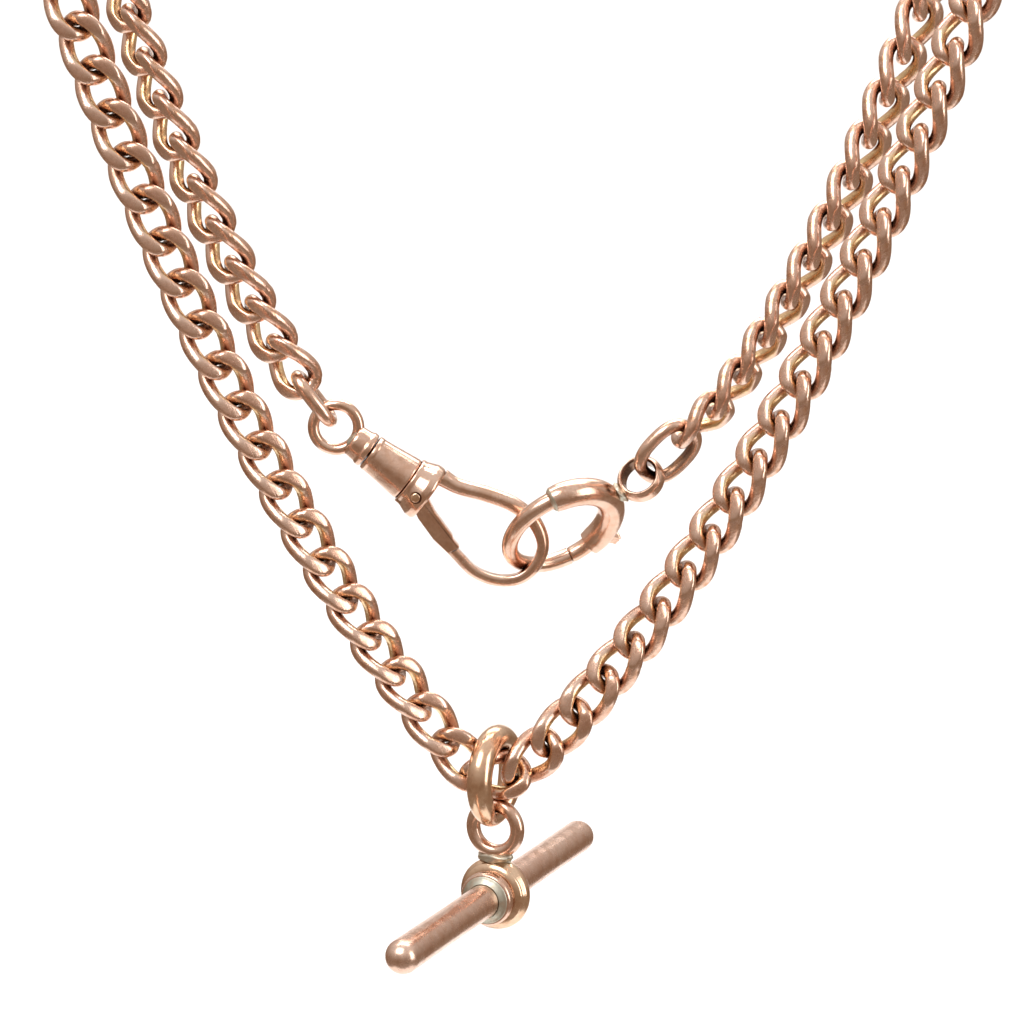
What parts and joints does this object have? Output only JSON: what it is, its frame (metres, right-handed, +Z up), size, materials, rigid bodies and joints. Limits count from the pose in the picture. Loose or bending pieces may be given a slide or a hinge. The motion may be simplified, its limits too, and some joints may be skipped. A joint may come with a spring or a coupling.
{
  "type": "pocket watch chain",
  "caption": "Double Albert pocket watch chain hung doubled: curb links, T-bar on a ring at the middle link, swivel dog clip closed on a bolt ring.",
  "frame": {"origin": "middle of the hang line, level with the centres of the two half turns over the pins, midway between the front and back swags", "axes": "+Z up, +X to the right as the front of the chain is seen, -Y towards the viewer; the swags hang in planes parallel to XZ"},
  "size_m": [0.086, 0.0368, 0.0972],
  "materials": {
    "rose_gold": "polished",
    "yellow_gold": "polished",
    "spring_steel": "satin"
  },
  "bodies": {
    "hang_folds": {"fold_left_links_22_to_27": "rose_gold", "fold_right_links_23_to_28": "rose_gold"},
    "outer_upper": {"outer_upper_left_link_15": "rose_gold", "outer_upper_left_links_16_to_20": "rose_gold", "outer_upper_left_link_21": "rose_gold", "outer_upper_right_link_15": "rose_gold", "outer_upper_right_links_16_to_21": "rose_gold", "outer_upper_right_link_22": "rose_gold"},
    "outer_middle": {"outer_middle_left_link_8": "rose_gold", "outer_middle_left_links_9_to_13": "rose_gold", "outer_middle_left_link_14": "rose_gold", "outer_middle_right_link_8": "rose_gold", "outer_middle_right_links_9_to_13": "rose_gold", "outer_middle_right_link_14": "rose_gold"},
    "outer_lower": {"middle_link": "rose_gold", "outer_lower_left_link_1": "rose_gold", "outer_lower_left_link_2": "rose_gold", "outer_lower_left_links_3_to_6": "rose_gold", "outer_lower_left_link_7": "rose_gold", "outer_lower_right_link_1": "rose_gold", "outer_lower_right_link_2": "rose_gold", "outer_lower_right_links_3_to_6": "rose_gold", "outer_lower_right_link_7": "rose_gold"},
    "inner_upper": {"inner_upper_left_link_28": "rose_gold", "inner_upper_left_links_29_to_32": "rose_gold", "inner_upper_left_link_33": "rose_gold", "inner_upper_right_link_29": "rose_gold", "inner_upper_right_links_30_to_34": "rose_gold", "inner_upper_right_link_35": "rose_gold"},
    "inner_lower": {"inner_lower_left_link_34": "rose_gold", "inner_lower_left_links_35_to_37": "rose_gold", "inner_lower_left_link_38": "rose_gold", "inner_lower_right_link_36": "rose_gold", "inner_lower_right_links_37_to_40": "rose_gold", "inner_lower_right_link_41": "rose_gold"},
    "clasp_ends": {"jump_link": "rose_gold", "oval_link": "rose_gold"},
    "clasp": {"clip_eye": "rose_gold", "clip_swivel_cap": "rose_gold", "clip_swivel_pin": "yellow_gold", "bolt_ring_tube": "rose_gold", "bolt_ring_wire": "rose_gold", "bolt_ring_eye": "rose_gold", "bolt_ring_spring": "spring_steel"},
    "clip_body": {"clip_barrel": "rose_gold", "clip_ferrule": "rose_gold", "clip_gate_pin": "yellow_gold", "clip_hook": "rose_gold", "clip_gate_spring": "spring_steel"},
    "gate": {"clip_gate": "rose_gold"},
    "bolt": {"bolt_ring_bolt": "rose_gold"},
    "t_ring": {"t_bar_ring": "yellow_gold"},
    "t_bar": {"t_bar_loop": "rose_gold", "t_bar_rod": "rose_gold", "t_bar_collar_bead": "yellow_gold", "t_bar_collar_near_ring": "rose_gold", "t_bar_collar_far_ring": "rose_gold"}
  },
  "joints": [
    {"name": "outer_upper_swing", "type": "hinge", "parent": "hang_folds", "child": "outer_upper", "pos_m": [-0.03823, -0.0026, -0.0074], "axis": [0.9998, 0, 0.0179], "range_deg": [-12, 2]},
    {"name": "outer_middle_swing", "type": "hinge", "parent": "outer_upper", "child": "outer_middle", "pos_m": [-0.02921, -0.0026, -0.03242], "axis": [0.9995, 0, -0.0315], "range_deg": [-12, 6]},
    {"name": "outer_lower_swing", "type": "hinge", "parent": "outer_middle", "child": "outer_lower", "pos_m": [-0.01795, -0.0026, -0.0565], "axis": [0.9994, 0, -0.0356], "range_deg": [-12, 12]},
    {"name": "t_ring_swing", "type": "hinge", "parent": "outer_lower", "child": "t_ring", "pos_m": [-0.00144, -0.0026, -0.07867], "axis": [1, 0, 0], "range_deg": [-14, 24]},
    {"name": "t_bar_swing", "type": "hinge", "parent": "t_ring", "child": "t_bar", "pos_m": [-0.00144, -0.0026, -0.08256], "axis": [0.4035, 0.915, 0], "range_deg": [-16, 16]},
    {"name": "inner_upper_swing", "type": "hinge", "parent": "hang_folds", "child": "inner_upper", "pos_m": [-0.03429, 0.0026, -0.0069], "axis": [0.9999, 0, 0.0118], "range_deg": [-2, 12]},
    {"name": "inner_lower_swing", "type": "hinge", "parent": "inner_upper", "child": "inner_lower", "pos_m": [-0.02677, 0.0026, -0.02842], "axis": [0.999, 0, -0.0458], "range_deg": [-12, 12]},
    {"name": "clasp_ends_swing", "type": "hinge", "parent": "inner_lower", "child": "clasp_ends", "pos_m": [-0.01801, 0.0026, -0.04524], "axis": [0.9907, 0, -0.1357], "range_deg": [-12, 7]},
    {"name": "clasp_swing", "type": "hinge", "parent": "clasp_ends", "child": "clasp", "pos_m": [-0.01603, 0.0026, -0.04788], "axis": [0.9861, 0, -0.1663], "range_deg": [-8, 12]},
    {"name": "clip_swivel", "type": "hinge", "parent": "clasp", "child": "clip_body", "pos_m": [-0.01516, 0.0026, -0.04904], "axis": [0.8039, 0, -0.5948], "range_deg": [-8, 5]},
    {"name": "gate_open", "type": "hinge", "parent": "clip_body", "child": "gate", "pos_m": [-0.00826, 0.0026, -0.0548], "axis": [0, -1, 0], "range_deg": [0, 25], "stiffness_Nm_per_rad": 0.006, "springref_deg": -17.19, "deforming": ["clip_gate_spring"]},
    {"name": "bolt_slide", "type": "hinge", "parent": "clasp", "child": "bolt", "pos_m": [0.00422, 0.0026, -0.05795], "axis": [0.4022, -0.6561, -0.6386], "range_deg": [0, 26], "stiffness_Nm_per_rad": 0.004, "springref_deg": -22.92, "deforming": ["bolt_ring_spring"]}
  ]
}
